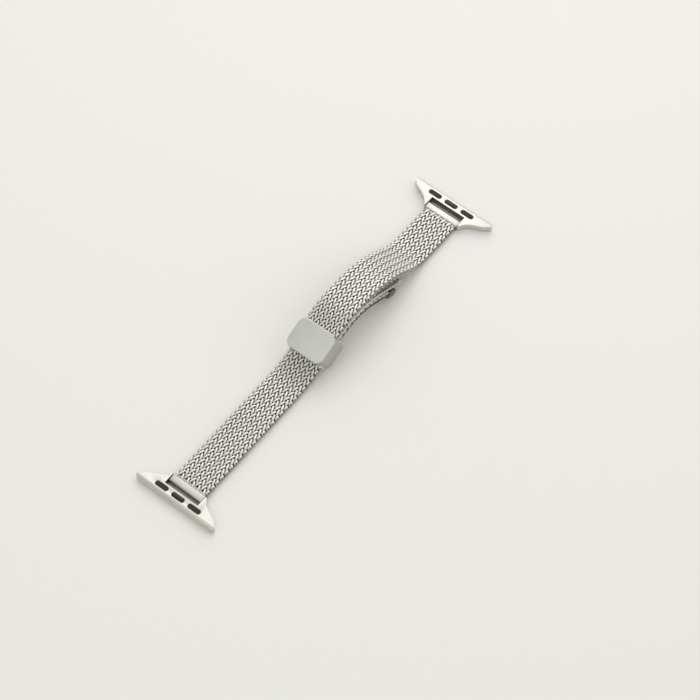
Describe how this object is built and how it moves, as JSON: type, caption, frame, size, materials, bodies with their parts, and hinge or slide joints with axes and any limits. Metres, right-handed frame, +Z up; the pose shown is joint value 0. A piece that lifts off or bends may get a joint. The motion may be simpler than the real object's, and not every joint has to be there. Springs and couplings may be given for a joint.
{
  "type": "woven metal watch bracelet",
  "caption": "Woven steel watch bracelet with a folding magnetic clasp, a tail that tucks under it and a swivelling lug with a sprung latch at each end.",
  "frame": {"origin": "on the table, midway between the two lugs' noses and on the strap's middle line", "axes": "+X along the strap from the near lug to the far lug, +Y across it, +Z up from the table"},
  "size_m": [0.1336, 0.0292, 0.0145],
  "materials": {
    "satin_steel": "bead-blasted satin steel",
    "polished_steel": "polished steel",
    "woven_steel": "woven steel wire",
    "dark_rubber": "matte",
    "dark_plastic": "satin",
    "magnet_plate": "nickel plated"
  },
  "bodies": {
    "clasp_base": {"clasp_strap": "woven_steel", "clasp_frame": "satin_steel", "lock_flap_pin": "polished_steel", "lower_leaf": "polished_steel", "leaf_pin": "polished_steel"},
    "flap": {"lock_flap": "satin_steel"},
    "leaf": {"upper_leaf": "polished_steel"},
    "cover_body": {"cover": "satin_steel", "cover_pin": "polished_steel", "cover_magnet": "magnet_plate", "cover_strap": "woven_steel", "cover_end_bar": "polished_steel"},
    "near_section_6": {"near_strap_6": "woven_steel"},
    "near_section_5": {"near_strap_5": "woven_steel"},
    "near_section_4": {"near_strap_4": "woven_steel"},
    "near_section_3": {"near_strap_3": "woven_steel"},
    "near_section_2": {"near_strap_2": "woven_steel"},
    "near_section_1": {"near_strap_1": "woven_steel", "near_strap_bar": "satin_steel", "near_spring_bar": "polished_steel"},
    "near_lug_body": {"near_lug": "satin_steel", "near_pads": "dark_rubber", "near_latch_spring": "polished_steel", "near_latch_plate": "polished_steel"},
    "near_button": {"near_latch_button": "dark_plastic"},
    "tail_section_1": {"tail_strap_1": "woven_steel"},
    "tail_section_2": {"tail_strap_2": "woven_steel"},
    "tail_section_3": {"tail_strap_3": "woven_steel", "tail_cap": "polished_steel"},
    "far_section_1": {"far_strap_1": "woven_steel"},
    "far_section_2": {"far_strap_2": "woven_steel"},
    "far_section_3": {"far_strap_3": "woven_steel"},
    "far_section_4": {"far_strap_4": "woven_steel"},
    "far_section_5": {"far_strap_5": "woven_steel"},
    "far_section_6": {"far_strap_6": "woven_steel"},
    "far_section_7": {"far_strap_7": "woven_steel", "far_strap_bar": "satin_steel", "far_spring_bar": "polished_steel"},
    "far_lug_body": {"far_lug": "satin_steel", "far_pads": "dark_rubber", "far_latch_spring": "polished_steel", "far_latch_plate": "polished_steel"},
    "far_button": {"far_latch_button": "dark_plastic"}
  },
  "joints": [
    {"name": "near_bend_6", "type": "hinge", "parent": "clasp_base", "child": "near_section_6", "pos_m": [-0.00715, 0, 0.00328], "axis": [0, 1, 0], "range_deg": [-25, 25]},
    {"name": "near_bend_5", "type": "hinge", "parent": "near_section_6", "child": "near_section_5", "pos_m": [-0.0158, 0, 0.00119], "axis": [0, 1, 0], "range_deg": [-25, 25]},
    {"name": "near_bend_4", "type": "hinge", "parent": "near_section_5", "child": "near_section_4", "pos_m": [-0.02475, 0, 0.00115], "axis": [0, 1, 0], "range_deg": [-25, 25]},
    {"name": "near_bend_3", "type": "hinge", "parent": "near_section_4", "child": "near_section_3", "pos_m": [-0.0337, 0, 0.00115], "axis": [0, 1, 0], "range_deg": [-25, 25]},
    {"name": "near_bend_2", "type": "hinge", "parent": "near_section_3", "child": "near_section_2", "pos_m": [-0.04265, 0, 0.00115], "axis": [0, 1, 0], "range_deg": [-25, 25]},
    {"name": "near_bend_1", "type": "hinge", "parent": "near_section_2", "child": "near_section_1", "pos_m": [-0.0516, 0, 0.00115], "axis": [0, 1, 0], "range_deg": [-25, 25]},
    {"name": "near_lug_turn", "type": "hinge", "parent": "near_section_1", "child": "near_lug_body", "pos_m": [-0.06055, 0, 0.00115], "axis": [0, 1, 0], "range_deg": [-80, 80]},
    {"name": "leaf_fold", "type": "hinge", "parent": "clasp_base", "child": "leaf", "pos_m": [0.03149, 0, 0.00427], "axis": [0, 1, 0], "range_deg": [0, 160]},
    {"name": "cover_turn", "type": "hinge", "parent": "leaf", "child": "cover_body", "pos_m": [-0.00555, 0, 0.00681], "axis": [0, 1, 0], "range_deg": [-160, 0]},
    {"name": "lock_flap_open", "type": "hinge", "parent": "clasp_base", "child": "flap", "pos_m": [-0.00417, 0, 0.002], "axis": [0, 1, 0], "range_deg": [0, 75]},
    {"name": "tail_bend_1", "type": "hinge", "parent": "clasp_base", "child": "tail_section_1", "pos_m": [0.00436, 0, 0.0084], "axis": [0, 1, 0], "range_deg": [0, 20]},
    {"name": "tail_bend_2", "type": "hinge", "parent": "tail_section_1", "child": "tail_section_2", "pos_m": [0.01295, 0, 0.0098], "axis": [0, 1, 0], "range_deg": [0, 20]},
    {"name": "tail_bend_3", "type": "hinge", "parent": "tail_section_2", "child": "tail_section_3", "pos_m": [0.02118, 0, 0.00689], "axis": [0, 1, 0], "range_deg": [0, 20]},
    {"name": "far_bend_1", "type": "hinge", "parent": "cover_body", "child": "far_section_1", "pos_m": [0.00296, 0, 0.01155], "axis": [0, 1, 0], "range_deg": [-25, 0]},
    {"name": "far_bend_2", "type": "hinge", "parent": "far_section_1", "child": "far_section_2", "pos_m": [0.01139, 0, 0.01341], "axis": [0, 1, 0], "range_deg": [-25, 0]},
    {"name": "far_bend_3", "type": "hinge", "parent": "far_section_2", "child": "far_section_3", "pos_m": [0.02005, 0, 0.01287], "axis": [0, 1, 0], "range_deg": [-25, 0]},
    {"name": "far_bend_4", "type": "hinge", "parent": "far_section_3", "child": "far_section_4", "pos_m": [0.02833, 0, 0.01032], "axis": [0, 1, 0], "range_deg": [-25, 0]},
    {"name": "far_bend_5", "type": "hinge", "parent": "far_section_4", "child": "far_section_5", "pos_m": [0.03563, 0, 0.00563], "axis": [0, 1, 0], "range_deg": [-25, 25]},
    {"name": "far_bend_6", "type": "hinge", "parent": "far_section_5", "child": "far_section_6", "pos_m": [0.0432, 0, 0.00152], "axis": [0, 1, 0], "range_deg": [-25, 25]},
    {"name": "far_bend_7", "type": "hinge", "parent": "far_section_6", "child": "far_section_7", "pos_m": [0.05186, 0, 0.00115], "axis": [0, 1, 0], "range_deg": [-25, 25]},
    {"name": "far_lug_turn", "type": "hinge", "parent": "far_section_7", "child": "far_lug_body", "pos_m": [0.06055, 0, 0.00115], "axis": [0, 1, 0], "range_deg": [-80, 80]},
    {"name": "near_latch_press", "type": "slide", "parent": "near_lug_body", "child": "near_button", "axis": [0, 0, 1], "range_m": [-0.0007, 0], "stiffness_N_per_m": 400, "springref_m": 0.0003, "deforming": ["near_latch_spring"]},
    {"name": "far_latch_press", "type": "slide", "parent": "far_lug_body", "child": "far_button", "axis": [0, 0, 1], "range_m": [-0.0007, 0], "stiffness_N_per_m": 400, "springref_m": 0.0003, "deforming": ["far_latch_spring"]}
  ],
  "couplings": [
    {"joint": "cover_turn", "follows": "leaf_fold", "ratio": -1}
  ]
}
